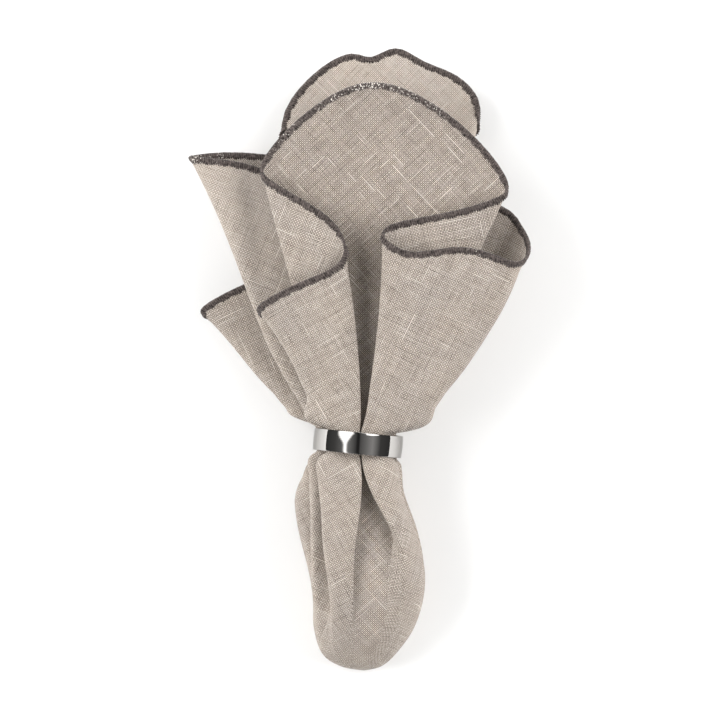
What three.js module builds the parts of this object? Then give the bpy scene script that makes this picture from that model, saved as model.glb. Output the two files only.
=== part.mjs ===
import * as THREE from "three";
import { ParametricGeometry } from "three/addons/geometries/ParametricGeometry.js";
import { mergeVertices } from "three/addons/utils/BufferGeometryUtils.js";

// A linen napkin drawn through a polished band, lying on its back on the table.
// Millimetres. Before the last step, zero is on the table under the middle of the band,
// +Y runs up the fanned layers and +Z points away from the table.

// Cloth
const clothThickness = 1.0;
const restHeight = 0.45;
const levelHeight = 100;
const flarePower = 0.86;

// Band
const bandDiameter = 43.2;
const bandHeight = 10.6;
const bandWall = 1.2;
const bandEdgeRadius = 0.4;
const bandSegments = 72;
const bandTurn = THREE.MathUtils.degToRad(-5.7);

// Where the cloth passes the band
const fittingGap = 0.4;
const throatLip = 1.2;
const throatReach = bandHeight / 2 + throatLip;
const throatRadius = 20;
const hollowReach = 103;
const driftStart = 30;
const driftReach = 95;
const puffReach = 15;
const swellReach = 66;

// Mesh steps
const foldSteps = 3;
const panelSteps = 2;
const panelSpan = 24;
const rowCrowding = 1.4;
const tailRows = 10;
const throatRows = 2;
const fanRows = 9;

const bandRadius = bandDiameter / 2;
const bandInside = (bandRadius - bandWall) * Math.cos(Math.PI / bandSegments);
const bandCentre = bandRadius * Math.cos(Math.PI / bandSegments);

// The layers of the cloth, front to back. ring: height of the layer from the band's axis, where
// the throat is 20 mm in radius. level: its height above the table 100 mm up from the band.
const layers = {
  frontLeft: { ring: 16.4, level: 50 },
  frontRight: { ring: 16.4, level: 52 },
  pleatLeft: { ring: 13.9, level: 44 },
  pleatRight: { ring: 13.9, level: 45 },
  frontLobe: { ring: 11.4, level: 37 },
  innerLeft: { ring: 9.1, level: 33.5 },
  wingFront: { ring: 6.8, level: 30.5 },
  sideRight: { ring: 4.5, level: 27.5 },
  innerRight: { ring: 2.2, level: 24.5 },
  wingBack: { ring: -0.1, level: 21.6 },
  lowLeft: { ring: -2.4, level: 18.8 },
  lowRight: { ring: -4.7, level: 16 },
  deepRight: { ring: -7.0, level: 13.3 },
  backLobe: { ring: -9.3, level: 10.6 },
  tuckLeft: { ring: -11.6, level: 8.0 },
  underLeft: { ring: -13.8, level: 5.5 },
  tuckRight: { ring: -15.9, level: 2.9 },
  underRight: { ring: -18.0, level: -3 },
};

// The folds, once round the cloth. Each joins two layers; a crest lies inside one layer.
// ringX, ringStep: place across the throat and the change across the fold.
// hemX, hemY, hemStep: where it meets the hem and the change of height across the fold.
// lift: extra height at the hem. bow, curl: swing to the side low down and high up.
// puff, swell: bulge to the side just over and just under the band.
// turn: its direction round the tail, 90 is the front and 180 the left.
// opens, fills: how far below the band it reaches that place, and that depth.
// hollow: how far it is drawn in on the way there.
const foldColumns = [
  "from", "to", "ringX", "ringStep", "hemX", "hemY", "hemStep", "lift", "bow",
  "curl", "puff", "swell", "turn", "opens", "fills", "hollow",
];
const foldRows = [
  ["frontLobe", "frontLobe", -2, 0, -8, 173.4, 0, -4, 0, 0, 0, 0, 90, 80, 110, 2.5],
  ["frontLobe", "pleatLeft", -9.5, 0, -47.5, 131, -8, 0, 0, 0, 0, 0, 100, 95, 120, 1],
  ["pleatLeft", "pleatLeft", -4, 0, -17, 111, 0, 2, 0, 0, 0, 0, 106, 100, 110, 1],
  ["pleatLeft", "frontLeft", 0.9, 0, -6, 92.5, -16, 0, 1.8, 1.5, 0, 1.3, 110, 110, 95, -0.5],
  ["frontLeft", "frontLeft", -5, 0, -24, 78.5, 0, 2, 0, 0, 0, 0, 114, 70, 95, 0],
  ["frontLeft", "innerLeft", -15.5, -6, -50, 63, -4, 0, -1.5, 4, -5, 0, 129, 30, 110, 0],
  ["innerLeft", "wingFront", 13, 0, 36, 66, 0, 0, 0, 0, 0, 0, 138, 90, 130, 1.6],
  ["wingFront", "wingFront", -4, 0, -38, 132, 0, 0, 0, 0, 0, 0, 143, 90, 130, 3],
  ["wingFront", "wingFront", -14, 0, -68, 136.5, 0, 0, 0, 0, 0, 3, 154, 80, 130, 0],
  ["wingFront", "wingBack", -19.5, 0, -82, 137.5, 1, 0, -4, 3.5, 0, 4.6, 166, 95, 140, 0],
  ["wingBack", "wingBack", -4, 0, -42, 142.5, 0, 0, 0, 0, 0, 0, 172, 80, 130, 0],
  ["wingBack", "lowLeft", 15.5, 0, 54, 110, 0, 0, 0, 0, 0, 0, 178, 80, 130, 0],
  ["lowLeft", "underLeft", -16.5, 5, -78, 63, -4, 0, -7, 2.5, -8, -3, 192, 26, 130, 0],
  ["underLeft", "underLeft", -4, 0, -40, 62, 0, 0, 0, 0, 0, 0, 207, 40, 80, 0.6],
  ["underLeft", "tuckLeft", 5.5, 0, 30, 96, 0, 0, 0, 0, 0, 0, 222, 40, 80, 0],
  ["tuckLeft", "backLobe", -9.5, 0, -37, 148, 14, 0, 0, 0, 0, 0, 240, 40, 80, 0],
  ["backLobe", "backLobe", -7.5, 0, -33.5, 165, 0, 3, 0, 0, 0, 0, 245, 40, 80, 0],
  ["backLobe", "backLobe", -5, 0, -18, 181.5, 0, 5, 0, 0, 0, 0, 252, 40, 80, 0],
  ["backLobe", "backLobe", -2.5, 0, -1.5, 190, 0, 6, 0, 0, 0, 0, 259, 40, 80, 0],
  ["backLobe", "backLobe", 0, 0, 5.5, 183, 0, 1, 0, 0, 0, 0, 266, 40, 80, 0],
  ["backLobe", "backLobe", 2.5, 0, 18.5, 193.5, 0, 7, 0, 0, 0, 0, 272, 40, 80, 0],
  ["backLobe", "backLobe", 5, 0, 30, 183, 0, 4, 0, 0, 0, 0, 279, 40, 80, 0],
  ["backLobe", "backLobe", 7.5, 0, 48.5, 178.5, 0, 0, 0, 0, 0, 0, 286, 40, 80, 0],
  ["backLobe", "backLobe", 9.5, 0, 59.5, 165, 0, 2, 0, 0, 0, 0, 292, 40, 80, 0],
  ["backLobe", "tuckRight", 10.5, -3, 58.5, 152, -14, 0, 0, 0, 0, 0, 298, 40, 80, 0],
  ["tuckRight", "underRight", -7.5, 0, -26, 92, 0, 0, 0, 0, 0, 0, 312, 40, 80, 0],
  ["underRight", "deepRight", 15, 8, 60, 96, 0, 0, 0, 0, 0, 0, 326, 50, 110, 0],
  ["deepRight", "deepRight", 8, 0, 34, 98, 0, 0, 0, 0, 0, 0, 331, 60, 120, 0],
  ["deepRight", "lowRight", -11.5, 0, -40, 104, 0, 0, 0, 0, 0, 0, 336, 80, 130, 0],
  ["lowRight", "innerRight", 19.5, 0, 68, 98, 0, 0, 0, 0, 0, 0, 345, 80, 130, 0],
  ["innerRight", "sideRight", -15.5, 0, -36, 110, 0, 0, 0, 0, 0, 0, 353, 80, 130, 0],
  ["sideRight", "sideRight", 5, 0, 65, 122.5, 0, 0, 0, 0, 0, 0, 361, 80, 130, 0],
  ["sideRight", "frontRight", 16.5, -7, 80.2, 93.5, -21, 0, 5, 5, 5, 0, 368, 80, 110, 0],
  ["frontRight", "frontRight", 10, 0, 66, 89.5, 0, 2, 0, 0, 0, 0, 386, 70, 100, 0],
  ["frontRight", "frontRight", 7, 0, 48, 95.5, 0, 3, 0, 0, 0, 0, 397, 60, 90, 0],
  ["frontRight", "frontRight", 4, 0, 25, 88.5, 0, 2, 0, 0, 0, 0, 406, 50, 90, 0],
  ["frontRight", "pleatRight", 1.8, 0, 11, 101, 8, 0, 0.8, 1.6, 0, 0, 411, 46, 90, 0],
  ["pleatRight", "pleatRight", 8, 0, 42, 109, 0, 0, 0, 0, 0, 3, 419, 70, 100, 2],
  ["pleatRight", "frontLobe", 11.5, 0, 73, 122, 8, 0, 0, 0, 0, 5, 427, 90, 110, 5],
  ["frontLobe", "frontLobe", 5, 0, 22, 175.4, 0, -4, 0, 0, 0, 0, 438, 60, 100, 2.5],
];
const named = (row) => Object.fromEntries(foldColumns.map((name, index) => [name, row[index]]));
const folds = foldRows.map(named);

// The tail, from the band down to its tip: how far it reaches left, right, up and down.
const tailSections = [
  { y: -throatReach, left: -20, right: 20, top: bandCentre + 20, bottom: bandCentre - 20 },
  { y: -11, left: -24, right: 23.5, top: 43, bottom: 1.5 },
  { y: -22, left: -29.3, right: 24.5, top: 44, bottom: 1 },
  { y: -40, left: -27.8, right: 30.5, top: 44, bottom: -2 },
  { y: -58, left: -24.6, right: 33.5, top: 41, bottom: -5 },
  { y: -74, left: -22.3, right: 32, top: 37, bottom: -6 },
  { y: -90, left: -21, right: 26.5, top: 30, bottom: -5 },
  { y: -102, left: -17, right: 18, top: 22, bottom: 0 },
  { y: -108, left: -8, right: 11, top: 15, bottom: 3 },
  { y: -110, left: 3, right: 3, top: 8, bottom: 8 },
];

const smooth = (value, low, high) => THREE.MathUtils.smoothstep(value, low, high);
const mix = THREE.MathUtils.lerp;
const hump = (share) => 6.75 * share * Math.max(1 - share, 0) ** 2;

// A fold gives two guide points, one on each of its layers; a crest gives one.
const tailStep = 4;
const guides = [];
for (const fold of folds) {
  const crest = fold.from === fold.to;
  const sides = crest ? [0] : [-0.5, 0.5];
  for (const side of sides) {
    const layer = layers[side > 0 ? fold.to : fold.from];
    guides.push({
      ring: layer.ring,
      level: layer.level,
      ringX: fold.ringX + side * fold.ringStep,
      hemX: fold.hemX,
      hemY: fold.hemY + side * fold.hemStep,
      lift: fold.lift,
      bow: fold.bow,
      curl: fold.curl,
      puff: fold.puff,
      swell: fold.swell,
      turn: THREE.MathUtils.degToRad(fold.turn + side * tailStep),
      opens: fold.opens,
      fills: fold.fills,
      hollow: fold.hollow,
      folded: side < 0,
    });
  }
}

// Smooth closed curve that leans on four neighbouring guides, the same for every cross-section.
function blend(place) {
  const span = Math.floor(place);
  const t = place - span;
  const weights = [
    (1 - t) ** 3 / 6,
    (3 * t ** 3 - 6 * t ** 2 + 4) / 6,
    (-3 * t ** 3 + 3 * t ** 2 + 3 * t + 1) / 6,
    t ** 3 / 6,
  ];
  return weights.map((weight, index) => {
    const guide = guides[(span + index - 1 + 2 * guides.length) % guides.length];
    return { weight, guide };
  });
}

const opening = (y) => Math.max(y - throatReach, 0) ** flarePower;

// The throat is drawn in until its widest point just clears the band.
function throatWidth() {
  let widest = 0;
  for (let place = 0; place < guides.length; place += 1 / 16) {
    let x = 0;
    let z = 0;
    for (const { weight, guide } of blend(place)) {
      x += weight * guide.ringX;
      z += weight * guide.ring;
    }
    widest = Math.max(widest, Math.hypot(x, z));
  }
  return widest;
}
const throatFit = (bandInside - fittingGap - clothThickness / 2) / throatWidth();

function fanPoint(guide, y) {
  const ringX = guide.ringX * throatFit;
  const ringZ = bandCentre + guide.ring * throatFit;
  const risen = opening(y) / opening(guide.hemY);
  const aboveBand = Math.max(y - throatReach, 0) / puffReach;
  const leftOver = Math.max(1 - risen, 0);
  const swing = guide.bow * hump(risen) + guide.curl * hump(leftOver);
  const x = mix(ringX, guide.hemX, risen) + swing + guide.puff * hump(aboveBand);
  const z = mix(ringZ, guide.level, opening(y) / opening(levelHeight)) + guide.lift * risen ** 2;
  return { x, z };
}

const tailLine = (key) => {
  const points = tailSections.map((section, index) => new THREE.Vector2(index, section[key]));
  return new THREE.SplineCurve(points);
};
const tailLines = {
  y: tailLine("y"),
  left: tailLine("left"),
  right: tailLine("right"),
  top: tailLine("top"),
  bottom: tailLine("bottom"),
};

function tailPoint(guide, section) {
  const halfWidth = (section.right - section.left) / 2;
  const halfHeight = (section.top - section.bottom) / 2;
  const middleX = (section.right + section.left) / 2;
  const middleZ = (section.top + section.bottom) / 2;
  const below = -section.y - throatReach;
  const opened = smooth(below, 0, guide.opens);
  const filled = smooth(below, 0, guide.fills);
  const foldedX = (guide.ringX * throatFit) / throatRadius;
  const foldedZ = (guide.ring * throatFit) / throatRadius;
  const across = mix(foldedX, Math.cos(guide.turn), opened);
  const drift = mix(across ** 2, 1, smooth(below, driftStart, driftReach));
  const x = middleX * drift + halfWidth * across + guide.swell * hump(below / swellReach);
  const drawnIn = guide.hollow * hump(below / hollowReach);
  const z = middleZ + halfHeight * mix(foldedZ, Math.sin(guide.turn), filled) - drawnIn;
  return { x, z };
}

const rows = tailRows + throatRows + fanRows;

// Places round the cloth where it is sampled, closer together at the folds.
const columns = [];
guides.forEach((guide, index) => {
  const next = guides[(index + 1) % guides.length];
  const wide = Math.abs(next.hemX - guide.hemX) > panelSpan;
  const steps = guide.folded ? foldSteps : wide ? panelSteps : 1;
  for (let step = 0; step < steps; step += 1) {
    columns.push(index + step / steps);
  }
});
columns.push(guides.length);

// One point of the cloth: u runs round it, v from the tip of the tail to the hem.
function clothPoint(u, v, target) {
  const row = v * rows;
  const column = Math.round(u * (columns.length - 1));
  const near = blend(columns[column]);
  let y = 0;
  let place = fanPoint;
  let station = 0;
  if (row < tailRows) {
    const t = 1 - row / tailRows;
    const section = {};
    for (const key of Object.keys(tailLines)) {
      section[key] = tailLines[key].getPoint(t).y;
    }
    y = section.y;
    station = section;
    place = tailPoint;
  } else if (row < tailRows + throatRows) {
    y = mix(-throatReach, throatReach, (row - tailRows) / throatRows);
    station = y;
  } else {
    const share = ((row - tailRows - throatRows) / fanRows) ** rowCrowding;
    const hem = near.reduce((sum, { weight, guide }) => sum + weight * guide.hemY, 0);
    y = mix(throatReach, hem, share);
    station = y;
  }
  let x = 0;
  let z = 0;
  for (const { weight, guide } of near) {
    const point = place(guide, station);
    x += weight * point.x;
    z += weight * point.z;
  }
  const nearBand = 1 - smooth(Math.abs(y), 12, 55);
  target.set(x, y + Math.tan(bandTurn) * x * nearBand, Math.max(z, restHeight));
}

// Joins coinciding corners and drops the triangles that close up at the tip.
function weld(geometry) {
  geometry.deleteAttribute("normal");
  geometry.deleteAttribute("uv");
  const welded = mergeVertices(geometry, 1e-3);
  const index = welded.getIndex().array;
  const kept = [];
  for (let i = 0; i < index.length; i += 3) {
    const [a, b, c] = [index[i], index[i + 1], index[i + 2]];
    if (a !== b && b !== c && c !== a) {
      kept.push(a, b, c);
    }
  }
  welded.setIndex(kept);
  welded.computeVertexNormals();
  return welded;
}

// Gives a sheet its thickness: two skins and a strip along the hem.
function thicken(sheet, thickness) {
  const place = sheet.getAttribute("position");
  const normal = sheet.getAttribute("normal");
  const index = sheet.getIndex().array;
  const points = [];
  for (const side of [0.5, -0.5]) {
    for (let i = 0; i < place.count; i += 1) {
      const point = new THREE.Vector3().fromBufferAttribute(place, i);
      const away = new THREE.Vector3().fromBufferAttribute(normal, i);
      point.addScaledVector(away, side * thickness);
      points.push(point.x, point.y, Math.max(point.z, 0));
    }
  }
  const faces = [];
  const edges = new Set();
  for (let i = 0; i < index.length; i += 3) {
    const corner = [index[i], index[i + 1], index[i + 2]];
    faces.push(...corner);
    faces.push(corner[2] + place.count, corner[1] + place.count, corner[0] + place.count);
    corner.forEach((from, k) => edges.add(`${from} ${corner[(k + 1) % 3]}`));
  }
  for (const edge of edges) {
    const [from, to] = edge.split(" ").map(Number);
    if (!edges.has(`${to} ${from}`)) {
      faces.push(to, from, from + place.count);
      faces.push(to, from + place.count, to + place.count);
    }
  }
  const solid = new THREE.BufferGeometry();
  solid.setAttribute("position", new THREE.Float32BufferAttribute(points, 3));
  solid.setIndex(faces);
  return solid;
}

const sheet = weld(new ParametricGeometry(clothPoint, columns.length - 1, rows));
const linen = new THREE.MeshStandardMaterial({ color: 0xb9ab9b, roughness: 0.95, metalness: 0 });
const napkin = new THREE.Mesh(thicken(sheet, clothThickness), linen);
napkin.name = "napkin";

// The band: a thin wall with softened edges, turned about its own axis.
const wall = new THREE.Shape();
const innerX = bandRadius - bandWall;
const low = -bandHeight / 2;
wall.moveTo(innerX + bandEdgeRadius, low);
wall.lineTo(bandRadius - bandEdgeRadius, low);
wall.absarc(bandRadius - bandEdgeRadius, low + bandEdgeRadius, bandEdgeRadius, -Math.PI / 2, 0);
wall.lineTo(bandRadius, -low - bandEdgeRadius);
wall.absarc(bandRadius - bandEdgeRadius, -low - bandEdgeRadius, bandEdgeRadius, 0, Math.PI / 2);
wall.lineTo(innerX + bandEdgeRadius, -low);
wall.absarc(innerX + bandEdgeRadius, -low - bandEdgeRadius, bandEdgeRadius, Math.PI / 2, Math.PI);
wall.lineTo(innerX, low + bandEdgeRadius);
wall.absarc(innerX + bandEdgeRadius, low + bandEdgeRadius, bandEdgeRadius, Math.PI, 1.5 * Math.PI);
const profile = wall.getPoints(1);
const metal = new THREE.MeshStandardMaterial({ color: 0xc9c9c7, roughness: 0.12, metalness: 1 });
const bandShape = new THREE.LatheGeometry(profile, bandSegments, Math.PI / bandSegments);
const ring = new THREE.Mesh(weld(bandShape), metal);
ring.name = "ring";
ring.rotation.z = bandTurn;
ring.position.z = bandCentre;

// The finished part stands with its footprint centred on zero.
const group = new THREE.Group();
group.add(napkin, ring);
const extent = new THREE.Box3().setFromObject(group);
for (const piece of group.children) {
  piece.position.x -= (extent.min.x + extent.max.x) / 2;
  piece.position.y -= (extent.min.y + extent.max.y) / 2;
  piece.position.z -= extent.min.z;
}

export default group;
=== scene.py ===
import math

import bmesh
import bpy
import numpy as np
from mathutils import Matrix, Vector


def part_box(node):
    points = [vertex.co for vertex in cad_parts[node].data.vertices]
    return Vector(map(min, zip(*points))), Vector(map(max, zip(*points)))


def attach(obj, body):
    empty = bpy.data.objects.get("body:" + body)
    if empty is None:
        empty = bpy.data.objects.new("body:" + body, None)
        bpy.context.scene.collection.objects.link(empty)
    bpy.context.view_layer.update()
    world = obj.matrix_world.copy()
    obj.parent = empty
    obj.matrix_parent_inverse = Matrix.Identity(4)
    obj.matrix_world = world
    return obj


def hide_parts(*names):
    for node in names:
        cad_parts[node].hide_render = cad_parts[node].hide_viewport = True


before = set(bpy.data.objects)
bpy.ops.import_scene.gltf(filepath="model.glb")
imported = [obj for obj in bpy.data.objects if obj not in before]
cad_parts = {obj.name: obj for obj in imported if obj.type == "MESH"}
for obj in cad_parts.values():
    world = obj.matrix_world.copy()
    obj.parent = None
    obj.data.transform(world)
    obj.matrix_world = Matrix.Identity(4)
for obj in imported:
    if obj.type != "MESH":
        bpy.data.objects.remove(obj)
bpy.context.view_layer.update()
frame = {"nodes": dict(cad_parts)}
print("frame loaded:", ", ".join(frame["nodes"]))

mm = 0.001  # tables are in millimetres, meshes in metres
meeting = 1e-6  # metres within which two points count as one
bandLow, bandHigh = (Vector(corner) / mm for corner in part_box("ring"))
bandMiddle = (bandLow + bandHigh) / 2
bandSet = {
    "radius": 21.58,
    "height": 10.6,
    "wall": 1.2,
    "crown": 0.22,  # how far the outside swells at mid height
    "crownSteps": 8,
    "edge": 0.32,  # rounding of the rims
    "edgeSteps": 4,
    "turn": math.radians(-5.7),
    "steps": 192,
}

# The cloth: x and y from the middle of the band, z from the table
clothSet = {
    "side": 450,
    "corner": 33,
    "thickness": 0.6,
    "rest": 0.45,  # least height of the sheet's middle above the table
    "levelHeight": 100,
    "flarePower": 0.86,  # below 1 the layers open fast beside the band, then slower
    "throatReach": 6.5,  # half length of the gathered stretch in the band
    "throatRadius": 20,
    "throatRoom": 19.48,  # how far from the band's axis the gathered cloth may lie
    "throatSamples": 16,  # from guide to guide, to find how far the folds reach
    "leanFull": 12,  # this far from the band the cloth leans as the band does,
    "leanNone": 55,  # and from here on it doesn't
    "puffReach": 15,
    "swellReach": 66,
    "hollowReach": 103,
    "driftStart": 30,
    "driftReach": 95,
    "tailStep": 4,  # degrees round the tail from one side of a fold to the other
    "creaseTaper": (0.3, 1.3),  # shares of its half length where a crease begins to fade and is gone
    "thinNone": 50,  # above the band, where the painted light of the floor shining through begins,
    "thinFull": 125,  # and where it is full
    "laidFrom": -30,  # only the cloth above this decides where its layer is laid
    "foldSteps": 8,
    "panelStep": 9.0,
    "creasedStep": 3.2,
    "leastSteps": 2,
    "tailRows": 40,
    "throatRows": 6,
    "fanRows": 50,
    "rowCrowding": 1.3,
}
layers = {  # ring: height from the axis of the band, level: height above the table 100 mm up
    "frontLeft": (16.4, 50),
    "frontRight": (16.4, 52),
    "pleatLeft": (13.9, 44),
    "pleatRight": (13.9, 45),
    "frontLobe": (11.4, 37),
    "innerLeft": (9.1, 33.5),
    "wingFront": (6.8, 30.5),
    "sideRight": (4.5, 27.5),
    "innerRight": (2.2, 24.5),
    "wingBack": (-0.1, 21.6),
    "lowLeft": (-2.4, 18.8),
    "lowRight": (-4.7, 16),
    "deepRight": (-7.0, 13.3),
    "backLobe": (-9.3, 10.6),
    "tuckLeft": (-11.6, 8.0),
    "underLeft": (-13.8, 5.5),
    "tuckRight": (-15.9, 2.9),
    "underRight": (-18.0, -3),
}
thinLayers = {  # painted light: 1 over the bare floor, which shines through, and below 0 painted shade over a hollow
    "backLobe": 1.0,
    "wingFront": 0.8,
    "wingBack": 0.6,
    "lowLeft": 0.2,
    "frontLobe": -0.5,
}
# One row for each fold, once round the cloth; a row that stays in one layer is a crest.
# bow and curl: swing to the side low down and high up, puff and swell: bulge over and under the band,
# turn: direction round the tail in degrees, opens and fills: how far below the band it gets there,
# hollow: how far it is drawn in on the way
foldColumns = (
    "from", "to", "ringX", "ringStep", "hemX", "hemY", "hemStep", "lift", "bow",
    "curl", "puff", "swell", "turn", "opens", "fills", "hollow",
)
foldRows = (
    ("frontLobe", "frontLobe", -2, 0, -8, 173.4, 0, -4, 0, 0, 0, 0, 90, 80, 110, 2.5),
    ("frontLobe", "pleatLeft", -9.5, 0, -47.5, 131, -8, 0, 0, 0, 0, 0, 100, 95, 120, 1),
    ("pleatLeft", "pleatLeft", -4, 0, -17, 111, 0, 2, 0, 0, 0, 0, 106, 100, 110, 1),
    ("pleatLeft", "frontLeft", 0.9, 0, -6, 92.5, -16, 0, 1.8, 1.5, 0, 1.3, 110, 110, 95, -0.5),
    ("frontLeft", "frontLeft", -5, 0, -24, 78.5, 0, 2, 0, 0, 0, 0, 114, 70, 95, 0),
    ("frontLeft", "innerLeft", -15.5, -6, -50, 63, -4, 0, -1.5, 4, -5, 0, 129, 30, 110, 0),
    ("innerLeft", "wingFront", 13, 0, 36, 66, 0, 0, 0, 0, 0, 0, 138, 90, 130, 1.6),
    ("wingFront", "wingFront", -4, 0, -38, 132, 0, 0, 0, 0, 0, 0, 143, 90, 130, 3),
    ("wingFront", "wingFront", -14, 0, -68, 136.5, 0, 0, 0, 0, 0, 3, 154, 80, 130, 0),
    ("wingFront", "wingBack", -19.5, 0, -82, 137.5, 1, 0, -4, 3.5, 0, 4.6, 166, 95, 140, 0),
    ("wingBack", "wingBack", -4, 0, -42, 142.5, 0, 0, 0, 0, 0, 0, 172, 80, 130, 0),
    ("wingBack", "lowLeft", 15.5, 0, 54, 110, 0, 0, 0, 0, 0, 0, 178, 80, 130, 0),
    ("lowLeft", "underLeft", -16.5, 5, -78, 63, -4, 0, -9, 2.5, -3.5, -3, 192, 26, 130, 0),
    ("underLeft", "underLeft", -4, 0, -40, 62, 0, 0, 0, 0, 0, 0, 207, 40, 80, 0.6),
    ("underLeft", "tuckLeft", 5.5, 0, 30, 96, 0, 0, 0, 0, 0, 0, 222, 40, 80, 0),
    ("tuckLeft", "backLobe", -9.5, 0, -37, 148, 14, 0, 0, 0, 0, 0, 240, 40, 80, 0),
    ("backLobe", "backLobe", -7.5, 0, -33.5, 165, 0, 3, 0, 0, 0, 0, 245, 40, 80, 0),
    ("backLobe", "backLobe", -5, 0, -18, 181.5, 0, 5, 0, 0, 0, 0, 252, 40, 80, 0),
    ("backLobe", "backLobe", -2.5, 0, -1.5, 190, 0, 6, 0, 0, 0, 0, 259, 40, 80, 0),
    ("backLobe", "backLobe", 0, 0, 5.5, 183, 0, 1, 0, 0, 0, 0, 266, 40, 80, 0),
    ("backLobe", "backLobe", 2.5, 0, 18.5, 193.5, 0, 7, 0, 0, 0, 0, 272, 40, 80, 0),
    ("backLobe", "backLobe", 5, 0, 30, 183, 0, 4, 0, 0, 0, 0, 279, 40, 80, 0),
    ("backLobe", "backLobe", 7.5, 0, 48.5, 178.5, 0, 0, 0, 0, 0, 0, 286, 40, 80, 0),
    ("backLobe", "backLobe", 9.5, 0, 59.5, 165, 0, 2, 0, 0, 0, 0, 292, 40, 80, 0),
    ("backLobe", "tuckRight", 10.5, -3, 58.5, 152, -14, 0, 0, 0, 0, 0, 298, 40, 80, 0),
    ("tuckRight", "underRight", -7.5, 0, -26, 92, 0, 0, 0, 0, 0, 0, 312, 40, 80, 0),
    ("underRight", "deepRight", 15, 8, 60, 96, 0, 0, 0, 0, 0, 0, 326, 50, 110, 0),
    ("deepRight", "deepRight", 8, 0, 34, 98, 0, 0, 0, 0, 0, 0, 331, 60, 120, 0),
    ("deepRight", "lowRight", -11.5, 0, -40, 104, 0, 0, 0, 0, 0, 0, 336, 80, 130, 0),
    ("lowRight", "innerRight", 19.5, 0, 68, 98, 0, 0, 0, 0, 0, 0, 345, 80, 130, 0),
    ("innerRight", "sideRight", -15.5, 0, -36, 110, 0, 0, 0, 0, 0, 0, 353, 80, 130, 0),
    ("sideRight", "sideRight", 5, 0, 65, 122.5, 0, 0, 0, 0, 0, 0, 361, 80, 130, 0),
    ("sideRight", "frontRight", 16.5, -7, 80.2, 93.5, -21, 0, 5, 6, 5, 0, 368, 80, 110, 0),
    ("frontRight", "frontRight", 10, 0, 66, 89.5, 0, 2, 0, 0, 0, 0, 386, 70, 100, 0),
    ("frontRight", "frontRight", 7, 0, 48, 95.5, 0, 3, 0, 0, 0, 0, 397, 60, 90, 0),
    ("frontRight", "frontRight", 4, 0, 25, 88.5, 0, 2, 0, 0, 0, 0, 406, 50, 90, 0),
    ("frontRight", "pleatRight", 1.8, 0, 11, 101, 8, 0, 0.8, 1.6, 0, 0, 411, 46, 90, 0),
    ("pleatRight", "pleatRight", 8, 0, 42, 109, 0, 0, 0, 0, 0, 3, 419, 60, 84, 2),
    ("pleatRight", "frontLobe", 11.5, 0, 73, 122, 8, 0, 0, 0, 0, 5, 427, 68, 84, 5),
    ("frontLobe", "frontLobe", 5, 0, 22, 175.4, 0, -4, 0, 0, 0, 0, 438, 60, 100, 2.5),
)
folds = [dict(zip(foldColumns, row)) for row in foldRows]
# The tail from the band to its tip: how far it reaches left, right, up and down
tailColumns = ("y", "left", "right", "top", "bottom")
tailRows = (
    (-6.5, -20, 20, bandMiddle.z + 20, bandMiddle.z - 20),
    (-11, -24, 23.5, 43, 1.5),
    (-22, -29.3, 24.5, 44, 1),
    (-40, -27.8, 30.5, 44, -2),
    (-58, -24.6, 33.5, 41, -5),
    (-74, -22.3, 32, 37, -6),
    (-90, -21, 26.5, 30, -5),
    (-102, -17, 18, 22, 0),
    (-108, -8, 11, 15, 3),
    (-110, 3, 3, 8, 8),
)
tailLines = dict(zip(tailColumns, np.array(tailRows).T))
# Creases, as soft ridges and troughs in one layer: from and to in the plan, half width, height
creaseRows = (
    ("frontLobe", 3, 60, 14, 122, 11, -1.2),
    ("frontLobe", 52, 112, 64, 140, 7, 1.1),
    ("frontLobe", -36, 132, -16, 106, 6, 0.8),
    ("frontLobe", 30, 156, 46, 128, 6, -0.6),
    ("frontLobe", -14, 158, -2, 124, 7, -0.5),
    ("pleatLeft", -29, 118, -15, 84, 6, 0.6),
    ("frontLeft", -43, 60, -18, 14, 3.5, 0.8),
    ("frontLeft", -35, 62, -15, 18, 4, -0.6),
    ("frontLeft", -11, 72, -6, 18, 5, 0.6),
    ("frontRight", 44, 80, 36, 36, 5, -0.9),
    ("frontRight", 32, 84, 23, 26, 6, 0.7),
    ("frontRight", 58, 84, 45, 44, 4.5, 0.7),
    ("frontRight", 67, 80, 52, 50, 4, -0.6),
    ("frontRight", 36, 24, 24, 4, 4, 0.6),
    ("wingFront", -51, 132, -45, 58, 6, -1.0),
    ("wingFront", -66, 132, -52, 64, 6, 0.9),
    ("sideRight", 76, 112, 71, 88, 2, -0.9),
    ("lowLeft", -66, 62, -32, 18, 4, 0.6),
    ("lowLeft", -53, 62, -29, 22, 5, -0.6),
    ("backLobe", -4, 186, -7, 150, 6, 0.8),
    ("backLobe", 8, 186, 6, 156, 5, -0.8),
    ("backLobe", 36, 184, 31, 154, 6, 0.8),
    ("frontLobe", 11, -46, 6, -84, 6, 0.8),
    ("frontRight", 15, -22, 22, -78, 6, 0.8),
    ("frontRight", 24, -34, 30, -76, 5, -0.5),
)
creasedLayers = {row[0] for row in creaseRows}
# How the cloth springs open beyond the band: fan or tail, left or right, how much wider, reach
flareRows = (
    (1, -1, 0.17, 9),
    (1, 1, 0.11, 24),
    (-1, -1, 0.16, 15),
    (-1, 1, 0.06, 6),
)


def smooth(value, low, high):
    share = np.clip((value - low) / (high - low), 0, 1)
    return share * share * (3 - 2 * share)


def mix(start, end, share):
    return start + (end - start) * share


# Rises to 1 at a third of the way and ends softly
def hump(share):
    return 27 / 4 * share * np.maximum(1 - share, 0) ** 2


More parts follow.
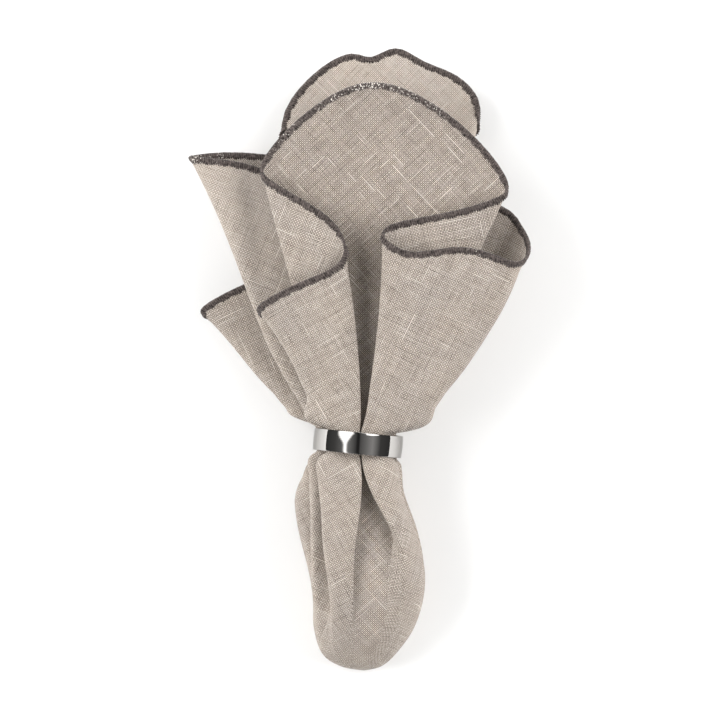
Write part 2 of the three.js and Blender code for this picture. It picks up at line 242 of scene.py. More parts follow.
# A fold gives a guide on each of its two layers, a crest gives one
def makeGuides():
    names = []
    rows = []
    for fold in folds:
        crest = fold["from"] == fold["to"]
        for side in (0,) if crest else (-0.5, 0.5):
            layer = fold["to"] if side > 0 else fold["from"]
            row = {name: fold[name] for name in foldColumns[2:]}
            row["ring"], row["level"] = layers[layer]
            row["folded"] = side < 0
            # painted light and shade that the linen's colour takes from this layer
            row["thin"] = thinLayers.get(layer, 0)
            row["ringX"] += side * fold["ringStep"]
            row["hemY"] += side * fold["hemStep"]
            row["turn"] = math.radians(fold["turn"] + side * clothSet["tailStep"])
            names.append(layer)
            rows.append(row)
    return names, {name: np.array([row[name] for row in rows], float) for name in rows[0]}


guideLayers, guides = makeGuides()
guideCount = len(guideLayers)


# Smooth closed curve leaning on four neighbouring guides
def blend(places):
    span = np.floor(places).astype(int)
    t = places - span
    weights = np.stack([
        (1 - t) ** 3 / 6,
        (3 * t ** 3 - 6 * t ** 2 + 4) / 6,
        (-3 * t ** 3 + 3 * t ** 2 + 3 * t + 1) / 6,
        t ** 3 / 6,
    ], -1)
    near = (span[:, None] + np.arange(-1, 3)) % guideCount
    return weights, near


# How much the gathered folds shrink to fit the band
def throatFit():
    weights, near = blend(np.arange(0, guideCount, 1 / clothSet["throatSamples"]))
    x = (weights * guides["ringX"][near]).sum(-1)
    z = (weights * guides["ring"][near]).sum(-1)
    return clothSet["throatRoom"] / np.hypot(x, z).max()


fit = throatFit()


def opening(y):
    return np.maximum(y - clothSet["throatReach"], 0) ** clothSet["flarePower"]


def hemHeight(places):
    weights, near = blend(places)
    return (weights * guides["hemY"][near]).sum(-1)


def fanPlace(places, y):
    weights, near = blend(places)
    y = y[:, None]
    ringX = guides["ringX"][near] * fit
    ringZ = bandMiddle.z + guides["ring"][near] * fit
    risen = opening(y) / opening(guides["hemY"][near])
    aboveBand = np.maximum(y - clothSet["throatReach"], 0) / clothSet["puffReach"]
    swing = guides["bow"][near] * hump(risen) + guides["curl"][near] * hump(np.maximum(1 - risen, 0))
    x = mix(ringX, guides["hemX"][near], risen) + swing + guides["puff"][near] * hump(aboveBand)
    raised = opening(y) / opening(clothSet["levelHeight"])
    z = mix(ringZ, guides["level"][near], raised) + guides["lift"][near] * risen ** 2
    return (weights * x).sum(-1), (weights * z).sum(-1)


# Curve through the rows of the tail's table, share 0 is at the band and 1 at the tip
def tailLine(name, share):
    values = tailLines[name]
    last = len(values) - 1
    index = min(int(share * last), last - 1)
    t = share * last - index
    a, b = values[max(index - 1, 0)], values[index]
    c, d = values[index + 1], values[min(index + 2, last)]
    slopeB, slopeC = (c - a) / 2, (d - b) / 2
    cubic = (2 * b - 2 * c + slopeB + slopeC) * t ** 3
    square = (-3 * b + 3 * c - 2 * slopeB - slopeC) * t ** 2
    return cubic + square + slopeB * t + b


def tailPlace(places, share):
    y, left, right, top, bottom = (tailLine(name, share) for name in tailColumns)
    weights, near = blend(places)
    below = -y - clothSet["throatReach"]
    opened = smooth(below, 0, guides["opens"][near])
    filled = smooth(below, 0, guides["fills"][near])
    foldedX = guides["ringX"][near] * fit / clothSet["throatRadius"]
    foldedZ = guides["ring"][near] * fit / clothSet["throatRadius"]
    drawnIn = guides["hollow"][near] * hump(below / clothSet["hollowReach"])
    turn = guides["turn"][near]
    across = mix(foldedX, np.cos(turn), opened)
    drift = mix(across ** 2, 1, smooth(below, clothSet["driftStart"], clothSet["driftReach"]))
    x = (left + right) / 2 * drift + (right - left) / 2 * across
    x = x + guides["swell"][near] * hump(below / clothSet["swellReach"])
    z = (top + bottom) / 2 + (top - bottom) / 2 * mix(foldedZ, np.sin(turn), filled) - drawnIn
    return (weights * x).sum(-1), y, (weights * z).sum(-1)


# Places round the cloth where it is sampled, closer together at the folds
def samplePlaces():
    spots = []
    for index in range(guideCount):
        steps = clothSet["foldSteps"]
        if not guides["folded"][index]:
            span = abs(guides["hemX"][(index + 1) % guideCount] - guides["hemX"][index])
            spacing = clothSet["creasedStep" if guideLayers[index] in creasedLayers else "panelStep"]
            steps = max(clothSet["leastSteps"], math.ceil(span / spacing))
        spots += [index + step / steps for step in range(steps)]
    return np.array(spots + [guideCount])


# How high the creases lift each point of the sheet
def creaseRise(places, grid):
    weights, near = blend(places)
    names = np.array(guideLayers)[near]
    rise = np.zeros(grid.shape[:2])
    for layer, startX, startY, endX, endY, width, height in creaseRows:
        share = (weights * (names == layer)).sum(-1)
        length = math.hypot(endX - startX, endY - startY)
        east, north = (endX - startX) / length, (endY - startY) / length
        right, up = grid[..., 0] - startX, grid[..., 1] - startY
        along = (right * east + up * north) / length
        away = right * north - up * east
        taper = 1 - smooth(np.abs(2 * along - 1), *clothSet["creaseTaper"])
        rise += height * share * taper * np.exp(-(away / width) ** 2)
    return rise


# The whole sheet as rows of points, from the tip of the tail to the hem
def clothRows(places):
    rows = []
    for step in range(clothSet["tailRows"]):
        x, y, z = tailPlace(places, 1 - step / clothSet["tailRows"])
        rows.append((x, np.full_like(x, y), z))
    throat = clothSet["throatReach"]
    for step in range(clothSet["throatRows"]):
        y = np.full_like(places, mix(-throat, throat, step / clothSet["throatRows"]))
        x, z = fanPlace(places, y)
        rows.append((x, y, z))
    hemY = hemHeight(places)
    for step in range(clothSet["fanRows"] + 1):
        y = mix(throat, hemY, (step / clothSet["fanRows"]) ** clothSet["rowCrowding"])
        x, z = fanPlace(places, y)
        rows.append((x, y, z))
    grid = np.stack([np.stack(row, -1) for row in rows])
    for end, side, wider, reach in flareRows:
        beyond = np.maximum(grid[..., 1] * end - bandSet["height"] / 2, 0) / reach
        grid[..., 0] *= 1 + wider * hump(beyond) * (grid[..., 0] * side > 0)
    lean = 1 - smooth(np.abs(grid[..., 1]), clothSet["leanFull"], clothSet["leanNone"])
    grid[..., 1] += math.tan(bandSet["turn"]) * grid[..., 0] * lean
    grid[..., 2] = np.maximum(grid[..., 2] + creaseRise(places, grid), clothSet["rest"])
    return grid


# Place on the hem of the flat square, share 0 and 1 in the middle of the front corner
def flatEdge(shares):
    inner = clothSet["side"] / 2 - clothSet["corner"]
    angles = np.radians(45 + np.arange(361))
    quarter = np.floor(angles / (math.pi / 2) + 1e-9)  # a hair over, so that no whole quarter is missed
    middle = (quarter + 0.5) * math.pi / 2
    x = inner * np.sign(np.cos(middle)) + clothSet["corner"] * np.cos(angles)
    y = inner * np.sign(np.sin(middle)) + clothSet["corner"] * np.sin(angles)
    length = np.concatenate([[0], np.cumsum(np.hypot(np.diff(x), np.diff(y)))])
    along = shares * length[-1]
    return np.stack([np.interp(along, length, x), np.interp(along, length, y)], -1)


def runLength(points, axis):
    steps = np.linalg.norm(np.diff(points, axis=axis), axis=-1)
    start = np.zeros_like(np.take(steps, [0], axis))
    return np.concatenate([start, np.cumsum(steps, axis=axis)], axis)


# Where each point of the sheet lies on the flat cloth, in metres
def flatPlaces(places, grid):
    hemLength = runLength(grid[-1], 0)
    corner = np.interp(guideCount - 0.5, places, hemLength)  # middle of the front lobe
    shares = ((hemLength - corner) / hemLength[-1]) % 1
    depth = runLength(grid, 0)
    return flatEdge(shares)[None] * (depth / depth[-1])[..., None] * mm


# The same, but each layer is unrolled from its middle column and laid down unstretched,
# so that its threads run straight, where it comes nearest to its place on the flat cloth
def laidPlaces(places, grid):
    laid = flatPlaces(places, grid)
    owner = np.array(guideLayers)[np.rint(places).astype(int) % guideCount]
    across = runLength(grid[..., [0, 2]], 1)
    wrapped = (owner == owner[0]) & (places > guideCount / 2)
    across[:, wrapped] -= across[:, -1:]
    bandRow = clothSet["tailRows"]
    along = runLength(grid[..., 1:], 0)
    along += grid[bandRow, :, 1] - along[bandRow]
    for layer in layers:
        own = np.flatnonzero(owner == layer)
        own = own[np.argsort(across[-1, own])]
        middle = own[len(own) // 2]
        way = np.sign(grid[-1, own[-1], 0] - grid[-1, own[0], 0])
        right = grid[:, [middle], 0] + way * (across[:, own] - across[:, [middle]])
        here, there = np.stack([right, along[:, own]], -1) * mm, laid[:, own]
        fan = grid[:, own, 1] > clothSet["laidFrom"]
        centre, place = here[fan].mean(0), there[fan].mean(0)
        spread = (here[fan] - centre).T @ (there[fan] - place)
        first, second = np.linalg.svd(spread)[::2]  # the turns without the stretch
        laid[:, own] = (here - centre) @ first @ second + place
    return laid


# How much painted light from the floor shining through each point gets, below 0 painted shade where it
# lies over a hollow
def thinPlaces(places, grid):
    weights, near = blend(places)
    thin = (weights * guides["thin"][near]).sum(-1)
    return thin * smooth(grid[..., 1], clothSet["thinNone"], clothSet["thinFull"])


def meshFrom(bm, name):
    mesh = bpy.data.meshes.new(name)
    bm.to_mesh(mesh)
    bm.free()
    return mesh


def addObject(name, data):
    thing = bpy.data.objects.new(name, data)
    bpy.context.collection.objects.link(thing)
    return thing


# A unit grid whose rows and columns are moved to given points, closed where its edges meet
def sheetMesh(name, points, flat, flatName, shares, shareName):
    rows, columns = points.shape[:2]
    bm = bmesh.new()
    bmesh.ops.create_grid(bm, x_segments=columns - 1, y_segments=rows - 1, size=0.5)
    mesh = meshFrom(bm, name)
    spots = np.empty(rows * columns * 3)
    mesh.vertices.foreach_get("co", spots)
    spots = spots.reshape(-1, 3)
    column = np.rint((spots[:, 0] + 0.5) * (columns - 1)).astype(int)
    row = np.rint((spots[:, 1] + 0.5) * (rows - 1)).astype(int)
    place = points[row, column] + np.array([bandMiddle.x, bandMiddle.y, 0])
    mesh.vertices.foreach_set("co", (place * mm).ravel())
    corners = np.empty(len(mesh.loops), int)
    mesh.loops.foreach_get("vertex_index", corners)
    uv = mesh.uv_layers.new(name=flatName)
    uv.data.foreach_set("uv", flat[row, column][corners].ravel())
    share = mesh.attributes.new(shareName, "FLOAT", "POINT")
    share.data.foreach_set("value", shares[row, column])
    bm = bmesh.new()
    bm.from_mesh(mesh)
    bmesh.ops.remove_doubles(bm, verts=bm.verts, dist=meeting)
    for face in bm.faces:
        face.smooth = True
    bm.to_mesh(mesh)
    bm.free()
    return addObject(name, mesh)


places = samplePlaces()
cloth = clothRows(places)
clothFlat = laidPlaces(places, cloth)
# the cloth carries its painted light and shade as an attribute for the linen
napkin = sheetMesh("napkin_cloth", cloth, clothFlat, "flat", thinPlaces(places, cloth), "thin")
wall = napkin.modifiers.new("thickness", "SOLIDIFY")
wall.thickness = clothSet["thickness"] * mm
wall.offset = 0
print("cloth:", len(napkin.data.polygons), "faces,", len(places), "columns")

# Overlocked hem, a ridged bead of thread round the edge of the cloth
hemSet = {
    "width": 2.9,
    "overhang": 0.35,
    "thickness": 1.5,
    "fullness": 0.7,  # below 1 the bead's section is fuller than an ellipse
    "stitch": 1.1,
    "stitchSteps": 5,
    "around": 10,
    "ridge": 0.24,
    "slant": 0.6,
    "tooth": 0.5,
    "uneven": ((7.3, 0.08), (3.1, 0.06)),  # wavelength and share of the bead
    "aim": 0.8,  # how far ahead and behind its direction is read
    "rest": 0.05,
}
fraySpots = (  # x, y, z, reach, how much
    (6, 171, 34, 22, 1.0),
    (22, 169, 34, 16, 0.7),
    (-14, 165, 34, 14, 0.7),
    (-34, 146, 36, 20, 0.35),
    (36, 161, 35, 14, 0.45),
    (-80, 136, 27, 12, 1.0),
    (-66, 137, 27, 10, 0.6),
    (18, 94, 48, 6, 0.8),
    (-22, 180, 14, 5, 0.9),
    (56, 92, 52, 8, 0.35),
)


# Points of the bead, and where each lies along the hem and round the bead
def hemRows(grid):
    edge, inner = grid[-1], grid[-2]
    length = runLength(edge, 0)
    stitches = round(length[-1] / hemSet["stitch"])
    count = stitches * hemSet["stitchSteps"]
    along = np.arange(count + 1) / count * length[-1]

    def follow(points, offset=0.0):
        spot = (along + offset) % length[-1]
        return np.stack([np.interp(spot, length, points[:, k]) for k in range(3)], -1)

    base = follow(edge)
    forward = follow(edge, hemSet["aim"]) - follow(edge, -hemSet["aim"])
    forward /= np.linalg.norm(forward, axis=-1, keepdims=True)
    inward = follow(inner) - base
    inward -= (inward * forward).sum(-1, keepdims=True) * forward
    inward /= np.linalg.norm(inward, axis=-1, keepdims=True)
    normal = np.cross(forward, inward)
    phase = 2 * math.pi * np.arange(count + 1) / hemSet["stitchSteps"]
    reach = hemSet["width"] + hemSet["overhang"]
    uneven = np.ones(count + 1)
    for wave, most in hemSet["uneven"]:
        uneven += most * np.sin(2 * math.pi * round(length[-1] / wave) * along / length[-1])
    rows = []
    flat = []
    for step in range(hemSet["around"] + 1):
        angle = 2 * math.pi * step / hemSet["around"]
        share = (1 - math.cos(angle)) / 2
        tooth = hemSet["tooth"] * np.cos(phase) * share ** 2
        ridge = 1 + hemSet["ridge"] * np.cos(phase + 2 * math.pi * hemSet["slant"] * share)
        profile = math.copysign(abs(math.sin(angle)) ** hemSet["fullness"], math.sin(angle))
        side = ((reach * share - hemSet["overhang"]) * uneven + tooth)[:, None] * inward
        rise = (hemSet["thickness"] / 2 * profile * ridge * uneven)[:, None] * normal
        rows.append(base + side + rise)
        flat.append(np.stack([along * mm, np.full(count + 1, step / hemSet["around"])], -1))
    points = np.stack(rows)
    points[..., 2] = np.maximum(points[..., 2], hemSet["rest"])
    return points, np.stack(flat)


# How far the linen shows through the stitches
def frayPlaces(points):
    fray = np.zeros(points.shape[:2])
    for x, y, z, reach, most in fraySpots:
        away = np.linalg.norm(points - np.array([x, y, z]), axis=-1)
        fray = np.maximum(fray, most * (1 - smooth(away, 0, reach)))
    return fray


hemPoints, hemFlat = hemRows(cloth)
hem = sheetMesh("overlocked_hem", hemPoints, hemFlat, "thread", frayPlaces(hemPoints), "fray")
print("hem:", len(hem.data.polygons), "faces")


# Polished band, its wall turned about its own axis
def bandMesh():
    half, inside = bandSet["height"] / 2, bandSet["radius"] - bandSet["wall"]
    section = [(inside, -half), (inside, half)]
    for step in range(bandSet["crownSteps"] + 1):
        share = 1 - 2 * step / bandSet["crownSteps"]
        section.append((bandSet["radius"] - bandSet["crown"] * share ** 2, half * share))
    bm = bmesh.new()
    line = [bm.verts.new((x * mm, y * mm, 0)) for x, y in section]
    for start, end in zip(line, line[1:] + line[:1]):
        bm.edges.new((start, end))
    bmesh.ops.spin(
        bm, geom=bm.verts[:] + bm.edges[:], cent=(0, 0, 0), axis=(0, 1, 0), dvec=(0, 0, 0),
        angle=2 * math.pi, steps=bandSet["steps"], use_merge=True, use_duplicate=False,
    )
    bmesh.ops.recalc_face_normals(bm, faces=bm.faces)
    ends = [e for e in bm.edges if all(abs(v.co.y) > half * mm - meeting for v in e.verts)]
    rims = [e for e in ends if abs(e.verts[0].co.xz.length - e.verts[1].co.xz.length) < meeting]
    bmesh.ops.bevel(
        bm, geom=rims, offset=bandSet["edge"] * mm, offset_type="OFFSET", affect="EDGES",
        segments=bandSet["edgeSteps"], profile=0.5, material=-1,
    )
    turn = Matrix.Rotation(bandSet["turn"], 4, "Z")
    bmesh.ops.transform(bm, matrix=Matrix.Translation(bandMiddle * mm) @ turn, verts=bm.verts)
    for face in bm.faces:
        face.smooth = True
    return addObject("polished_band", meshFrom(bm, "polished_band"))


band = bandMesh()
print("band:", len(band.data.polygons), "faces")


def newFinish(name):
    finish = bpy.data.materials.new(name)
    finish.use_nodes = True
    tree = finish.node_tree
    return finish, tree, tree.nodes["Principled BSDF"]


def setSurface(shader, values):
    for name, value in values.items():
        shader.inputs[name].default_value = value


def addNode(tree, kind, **settings):
    node = tree.nodes.new(kind)
    for name, value in settings.items():
        setattr(node, name, value)
    return node


# An output is linked to its input, a colour or a number is set on it
def feed(tree, inputs, values):
    for socket, value in zip(inputs, values):
        if isinstance(value, bpy.types.NodeSocket):
            tree.links.new(value, socket)
        elif isinstance(value, tuple):
            socket.default_value = (*value, 1)
        else:
            socket.default_value = value


def mathNode(tree, operation, *values):
    node = addNode(tree, "ShaderNodeMath", operation=operation)
    feed(tree, node.inputs, values)
    return node.outputs[0]


def noise(tree, vector, scale=1.0, detail=1.0):
    node = addNode(tree, "ShaderNodeTexNoise")
    feed(tree, [node.inputs[name] for name in ("Vector", "Scale", "Detail")], (vector, scale, detail))
    return node.outputs["Fac"]


def colourRamp(tree, factor, stops):
    node = addNode(tree, "ShaderNodeValToRGB")
    tree.links.new(factor, node.inputs["Fac"])
    while len(node.color_ramp.elements) < len(stops):
        node.color_ramp.elements.new(0.5)
    for element, (position, colour) in zip(node.color_ramp.elements, stops):
        element.position = position
        element.color = (*colour, 1)
    return node.outputs["Color"]


# A Mix node keeps the sockets of its numbers and of its colours side by side
def mixValue(tree, factor, first, second):
    node = addNode(tree, "ShaderNodeMix")
    feed(tree, [node.inputs[index] for index in (0, 2, 3)], (factor, first, second))
    return node.outputs[0]


def mixColour(tree, factor, first, second, kind="MIX"):
    node = addNode(tree, "ShaderNodeMix", data_type="RGBA", blend_type=kind)
    feed(tree, [node.inputs[index] for index in (0, 6, 7)], (factor, first, second))
    return node.outputs[2]


def bumpNode(tree, height, strength, distance, under=None):
    node = addNode(tree, "ShaderNodeBump")
    names = ("Height", "Strength", "Distance")
    feed(tree, [node.inputs[name] for name in names], (height, strength, distance))
    if under:
        tree.links.new(under, node.inputs["Normal"])
    return node.outputs["Normal"]


# Smooth step from 0 at one value to 1 at another
def fade(tree, value, start, end):
    node = addNode(tree, "ShaderNodeMapRange", interpolation_type="SMOOTHSTEP")
    feed(tree, [node.inputs[name] for name in ("Value", "From Min", "From Max")], (value, start, end))
    return node.outputs[0]


def splitNode(tree, vector):
    node = addNode(tree, "ShaderNodeSeparateXYZ")
    tree.links.new(vector, node.inputs[0])
    return node.outputs


linenSet = {
    "pitch": 0.00074,  # from thread to thread
    "wander": 0.35,  # threads that a thread strays by
    "wanderScale": 40.0,
    "uneven": 0.7,  # threads that its thickness varies by
    "swellSpread": 0.6,  # how far a thread's swelling differs from its neighbour's
    "threadSpread": 7.31,  # how far apart threads lie in the noises of their tone, slubs and gaps
    "noises": {  # length along the thread and seed
        "swelling": (0.04, 5.1),
        "tone": (0.010, 0.0),
        "slub": (0.024, 22.6),
        "gap": (0.010, 11.3),
    },
    "seedStep": 3.7,  # from the warp's seeds to the weft's
    "slub": {"start": (0.695, 0.745), "core": (0.68, 1.0)},
    "gap": {"start": (0.62, 0.72), "core": (0.7, 0.1)},
    "ground": -0.108,
    # Painted shading of the weave: lighter on the round tops of the threads, darker in the pores and
    # gaps between them
    "paintedRoundShade": 0.55,
    "overShade": 0.22,  # how much lighter the weft is than the warp
    "toneShade": 0.65,
    "paintedPoreShade": -2.3,
    "paintedGapShade": -0.65,
    "slubShade": 0.95,
    # painted shade over a hollow
    "paintedHollowShade": 0.16,
    "paintedGlow": (0.5, 0.42),  # contrast and lightness of the painted light where the floor shines through
    "shades": (
        (0.0, (0.060, 0.046, 0.036)),
        (0.35, (0.255, 0.212, 0.178)),
        (0.65, (0.445, 0.385, 0.332)),
        (1.0, (0.74, 0.675, 0.605)),
    ),
    "patches": {"scale": 45.0, "detail": 3.0},
    "patchTones": ((0.3, (0.93, 0.935, 0.95)), (0.7, (1.0, 0.99, 0.975))),
    "crumples": {"scale": 110.0, "detail": 3.0},
    "crumpleBump": {"strength": 0.25, "distance": 0.0015},
    "slubRelief": 0.5,
    "threadBump": {"strength": 0.5, "distance": 0.0002},
    "surface": {
        "Roughness": 0.9,
        "Specular IOR Level": 0.15,
        "Sheen Weight": 0.12,
        "Sheen Roughness": 0.5,
    },
}


# Noise that runs along the threads, one thread apart from the next
def threadNoise(tree, index, along, name, number):
    length, seed = linenSet["noises"][name]
    spot = addNode(tree, "ShaderNodeCombineXYZ")
    values = (index, mathNode(tree, "DIVIDE", along, length), seed + number * linenSet["seedStep"])
    feed(tree, spot.inputs, values)
    return noise(tree, spot.outputs[0])


# The threads of one direction: their round, their tone, bright slubs and the gaps between them, which
# get painted shade
def threadNodes(tree, across, along, number, wander):
    even = mathNode(tree, "ADD", mathNode(tree, "DIVIDE", across, linenSet["pitch"]), wander)
    spread = mathNode(tree, "MULTIPLY", even, linenSet["swellSpread"])
    swelling = threadNoise(tree, spread, along, "swelling", number)
    place = mathNode(tree, "MULTIPLY_ADD", swelling, linenSet["uneven"], even)
    wave = mathNode(tree, "SINE", mathNode(tree, "MULTIPLY", place, math.pi))
    profile = mathNode(tree, "ABSOLUTE", wave)
    thread = mathNode(tree, "FLOOR", place)
    apart = mathNode(tree, "MULTIPLY", thread, linenSet["threadSpread"])
    between = mathNode(tree, "MULTIPLY", mathNode(tree, "ROUND", place), linenSet["threadSpread"])
    found = {"thread": thread, "profile": profile}
    found["tone"] = threadNoise(tree, apart, along, "tone", number)
    for name, index in (("slub", apart), ("gap", between)):
        shows = fade(tree, threadNoise(tree, index, along, name, number), *linenSet[name]["start"])
        core = fade(tree, profile, *linenSet[name]["core"])
        found[name] = mathNode(tree, "MULTIPLY", shows, core)
    return found


# Open plain weave of uneven linen threads, on the map of the cloth laid flat, with painted shading of
# the threads, painted light where the floor shines through and painted shade over a hollow
def linenFinish():
    finish, tree, shader = newFinish("linen")
    flat = addNode(tree, "ShaderNodeUVMap", uv_map="flat").outputs["UV"]
    thin = addNode(tree, "ShaderNodeAttribute", attribute_name="thin").outputs["Fac"]
    place = addNode(tree, "ShaderNodeTexCoord").outputs["Object"]
    x, y = splitNode(tree, flat)[:2]
    stray = linenSet["wander"]
    wander = noise(tree, flat, linenSet["wanderScale"])
    wander = mathNode(tree, "MULTIPLY_ADD", wander, stray, -stray / 2)
    warp = threadNodes(tree, x, y, 0, wander)
    weft = threadNodes(tree, y, x, 1, wander)
    crossing = mathNode(tree, "ADD", warp["thread"], weft["thread"])
    parity = mathNode(tree, "FLOORED_MODULO", crossing, 2.0)
    over = mathNode(tree, "GREATER_THAN", parity, 0.5)
    profile, tone = (mixValue(tree, over, warp[name], weft[name]) for name in ("profile", "tone"))
    slub, gap = (mathNode(tree, "MAXIMUM", warp[name], weft[name]) for name in ("slub", "gap"))
    pores = [mathNode(tree, "SUBTRACT", 1.0, threads["profile"]) for threads in (warp, weft)]
    pore = mathNode(tree, "MULTIPLY", *pores)
    # Painted shade where the cloth lies over a hollow
    hollow = mathNode(tree, "MINIMUM", thin, 0.0)
    shade = linenSet["ground"]
    for part, weight in (
        (profile, "paintedRoundShade"), (over, "overShade"), (tone, "toneShade"), (pore, "paintedPoreShade"),
        (gap, "paintedGapShade"), (slub, "slubShade"), (hollow, "paintedHollowShade"),
    ):
        shade = mathNode(tree, "MULTIPLY_ADD", part, linenSet[weight], shade)
    # Painted light: paler and calmer where the floor shines through the cloth
    paintedGlow = mathNode(tree, "MULTIPLY_ADD", shade, *linenSet["paintedGlow"])
    colour = colourRamp(tree, mixValue(tree, thin, shade, paintedGlow), linenSet["shades"])
    patches = colourRamp(tree, noise(tree, place, **linenSet["patches"]), linenSet["patchTones"])
    tree.links.new(mixColour(tree, 1.0, colour, patches, "MULTIPLY"), shader.inputs["Base Color"])
    setSurface(shader, linenSet["surface"])
    crumple = bumpNode(tree, noise(tree, place, **linenSet["crumples"]), **linenSet["crumpleBump"])
    relief = mathNode(tree, "MULTIPLY_ADD", slub, linenSet["slubRelief"], profile)
    normal = bumpNode(tree, relief, **linenSet["threadBump"], under=crumple)
    tree.links.new(normal, shader.inputs["Normal"])
    return finish


threadSet = {
    "colours": ((0.3, (0.012, 0.009, 0.008)), (0.74, (0.15, 0.122, 0.112))),
    "strand": 0.0011,
    "slant": 0.0016,  # how far a strand runs along the hem on its way round the bead
    "strandShade": 0.09,
    "strandRelief": 0.5,
    "fuzz": {"scale": 900.0, "detail": 3.0},
    "bump": {"strength": 0.6, "distance": 0.0002},
    "fleck": (0.72, 0.67, 0.61),
    "flecks": {"scale": 1300.0, "detail": 1.0},
    "fleckMore": 0.13,
    "fleckStart": (0.68, 0.73),
    "frayStart": (0.02, 0.35),
    "surface": {"Roughness": 0.7, "Specular IOR Level": 0.3, "Sheen Weight": 0.15},
}


# Dark overlock thread with a few flecks of the linen showing through
def hemFinish():
    finish, tree, shader = newFinish("overlock_thread")
    thread = addNode(tree, "ShaderNodeUVMap", uv_map="thread").outputs["UV"]
    along, around = splitNode(tree, thread)[:2]
    slanted = mathNode(tree, "MULTIPLY_ADD", around, threadSet["slant"], along)
    turns = mathNode(tree, "MULTIPLY", slanted, 2 * math.pi / threadSet["strand"])
    strand = mathNode(tree, "SINE", turns)
    place = addNode(tree, "ShaderNodeTexCoord").outputs["Object"]
    fuzz = noise(tree, place, **threadSet["fuzz"])
    shade = mathNode(tree, "MULTIPLY_ADD", strand, threadSet["strandShade"], fuzz)
    colour = colourRamp(tree, shade, threadSet["colours"])
    fray = addNode(tree, "ShaderNodeAttribute", attribute_name="fray").outputs["Fac"]
    flecks = noise(tree, place, **threadSet["flecks"])
    flecks = mathNode(tree, "MULTIPLY_ADD", fray, threadSet["fleckMore"], flecks)
    shown = fade(tree, flecks, *threadSet["fleckStart"])
    shown = mathNode(tree, "MULTIPLY", shown, fade(tree, fray, *threadSet["frayStart"]))
    tree.links.new(mixColour(tree, shown, colour, threadSet["fleck"]), shader.inputs["Base Color"])
    setSurface(shader, threadSet["surface"])
    relief = mathNode(tree, "MULTIPLY_ADD", strand, threadSet["strandRelief"], fuzz)
    tree.links.new(bumpNode(tree, relief, **threadSet["bump"]), shader.inputs["Normal"])
    return finish


metalSet = {
    "roughness": (0.03, 0.07),
    "lineScale": (40, 3000, 40),
    "lines": {"scale": 1.0, "detail": 3.0},
    "bump": {"strength": 0.03, "distance": 0.0001},
    "surface": {
        "Base Color": (0.492, 0.476, 0.460, 1),
        "Metallic": 1,
        "Specular Tint": (0.7, 0.7, 0.7, 1),
    },
}


# Polished steel, a little duller in fine turned lines
def metalFinish():
    finish, tree, shader = newFinish("polished_metal")
    place = addNode(tree, "ShaderNodeTexCoord").outputs["Object"]
    turned = addNode(tree, "ShaderNodeMapping")
    turned.inputs["Scale"].default_value = metalSet["lineScale"]
    tree.links.new(place, turned.inputs["Vector"])
    lines = noise(tree, turned.outputs[0], **metalSet["lines"])
    dull = addNode(tree, "ShaderNodeMapRange")
    names = ("Value", "To Min", "To Max")
    feed(tree, [dull.inputs[name] for name in names], (lines, *metalSet["roughness"]))
    tree.links.new(dull.outputs[0], shader.inputs["Roughness"])
    setSurface(shader, metalSet["surface"])
    tree.links.new(bumpNode(tree, lines, **metalSet["bump"]), shader.inputs["Normal"])
    return finish


napkin.data.materials.append(linenFinish())
hem.data.materials.append(hemFinish())
band.data.materials.append(metalFinish())
print("finishes done")

for piece in (napkin, hem, band):
    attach(piece, "root")
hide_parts("napkin")
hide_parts("ring")

# Pale floor, soft light from both sides and a camera straight above
studioSet = {
    "floor": (0.95, 0.95, 0.945),
    "floorHalf": 4,
    "floorDip": 0.985,  # how dark its patches are
    "floorPatches": {"scale": 3.0, "detail": 2.0},
    "floorStops": (0.3, 0.7),
    "floorSurface": {"Roughness": 0.9},
    "pixel": 0.48,  # millimetres of napkin for each pixel of the picture
    "frame": 720,
    "bandPixel": (358, 443),
    "cameraHeight": 3.0,
    "focusHeight": 0.03,
    "fillLow": 0.84,
    "fillHigh": 0.36,
    "boxLight": 2.3,
}
lightRows = (  # name, degrees from straight up to the right, forward, distance, width, length, watts
    ("leftBox", -58, 12, 1.7, 1.3, 1.7, 40),
    ("rightBox", 58, 12, 1.7, 1.3, 1.7, 34),
)
# What the band mirrors, by degrees from straight up to the right: a dim room and two soft boxes
roomRows = (
    (-90, 0.05), (-62, 0.09), (-45, 0.17), (-33, 0.40), (-18, 0.22), (-5, 0.08), (-2, 0.03),
    (3, 0.03), (6, 0.13), (22, 0.26), (38, 0.42), (52, 0.20), (60, 0.08), (90, 0.05),
)
boxRows = (  # middle in degrees, half width level with the band and higher up, from, to, softness
    (-33, 8.0, 25, 0.0, 0.19, 9),
    (38, -9, 19, 0.06, 0.16, 4),
)


def makeFloor():
    bm = bmesh.new()
    bmesh.ops.create_grid(bm, x_segments=1, y_segments=1, size=studioSet["floorHalf"])
    floor = addObject("floor", meshFrom(bm, "floor"))
    finish, tree, shader = newFinish("pale_floor")
    place = addNode(tree, "ShaderNodeTexCoord").outputs["Object"]
    dip = tuple(studioSet["floorDip"] * part for part in studioSet["floor"])
    stops = zip(studioSet["floorStops"], (dip, studioSet["floor"]))
    tone = colourRamp(tree, noise(tree, place, **studioSet["floorPatches"]), tuple(stops))
    tree.links.new(tone, shader.inputs["Base Color"])
    setSurface(shader, studioSet["floorSurface"])
    floor.data.materials.append(finish)


def makeLights():
    for name, right, forward, distance, width, length, watts in lightRows:
        light = bpy.data.lights.new(name, "AREA")
        light.shape = "RECTANGLE"
        light.size, light.size_y, light.energy = width, length, watts
        lamp = addObject(name, light)
        aside = Matrix.Rotation(math.radians(right), 4, "Y")
        ahead = Matrix.Rotation(math.radians(-forward), 4, "X")
        lamp.matrix_world = aside @ ahead @ Matrix.Translation((0, 0, distance))
        lamp.visible_camera = False
        lamp.visible_glossy = False


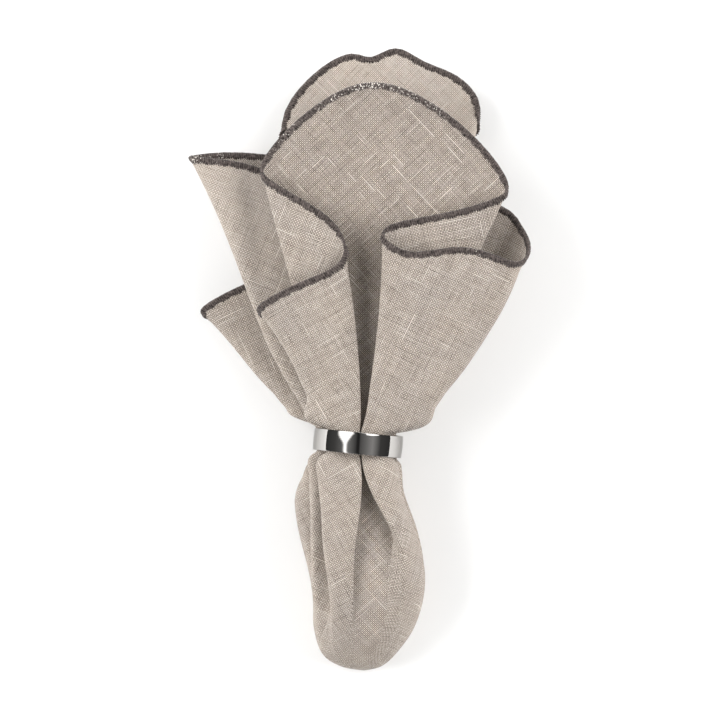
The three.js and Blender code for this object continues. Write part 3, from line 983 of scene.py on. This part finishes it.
# Even light for the cloth, and a room of its own for the band's reflections
def makeSky():
    world = bpy.data.worlds.new("studio")
    bpy.context.scene.world = world
    world.use_nodes = True
    tree = world.node_tree
    east, north, up = splitNode(tree, addNode(tree, "ShaderNodeTexCoord").outputs["Generated"])
    lean = mathNode(tree, "DEGREES", mathNode(tree, "ARCTAN2", east, up))
    grey = [((angle + 90) / 180, (level,) * 3) for angle, level in roomRows]
    room = colourRamp(tree, mathNode(tree, "MULTIPLY_ADD", lean, 1 / 180, 0.5), grey)
    for middle, level, high, start, end, softness in boxRows:
        half = mathNode(tree, "MULTIPLY_ADD", fade(tree, north, start, end), high - level, level)
        away = mathNode(tree, "ABSOLUTE", mathNode(tree, "SUBTRACT", lean, middle))
        inner = mathNode(tree, "SUBTRACT", half, softness)
        lit = mathNode(tree, "MULTIPLY", fade(tree, away, half, inner), studioSet["boxLight"])
        room = mixColour(tree, 1.0, room, lit, "ADD")
    soft = tree.nodes["Background"]
    soft.inputs["Color"].default_value = (1, 1, 1, 1)
    low, high = studioSet["fillLow"], studioSet["fillHigh"]
    tree.links.new(mathNode(tree, "MULTIPLY_ADD", up, high - low, low), soft.inputs["Strength"])
    mirrored = addNode(tree, "ShaderNodeBackground")
    tree.links.new(room, mirrored.inputs["Color"])
    either = addNode(tree, "ShaderNodeMixShader")
    glossy = addNode(tree, "ShaderNodeLightPath").outputs["Is Glossy Ray"]
    feed(tree, either.inputs, (glossy, soft.outputs[0], mirrored.outputs[0]))
    tree.links.new(either.outputs[0], tree.nodes["World Output"].inputs["Surface"])


def makeCamera():
    lens = bpy.data.cameras.new("camera")
    camera = addObject("camera", lens)
    half = studioSet["frame"] / 2
    right = (half - studioSet["bandPixel"][0]) * studioSet["pixel"]
    up = (studioSet["bandPixel"][1] - half) * studioSet["pixel"]
    place = ((bandMiddle.x + right) * mm, (bandMiddle.y + up) * mm, studioSet["cameraHeight"])
    camera.location = place
    reach = studioSet["cameraHeight"] - studioSet["focusHeight"]
    lens.lens = lens.sensor_width / 2 * reach / (half * studioSet["pixel"] * mm)
    bpy.context.scene.camera = camera


makeFloor()
makeLights()
makeSky()
makeCamera()
bpy.context.scene.view_settings.view_transform = "Standard"
print("studio done")
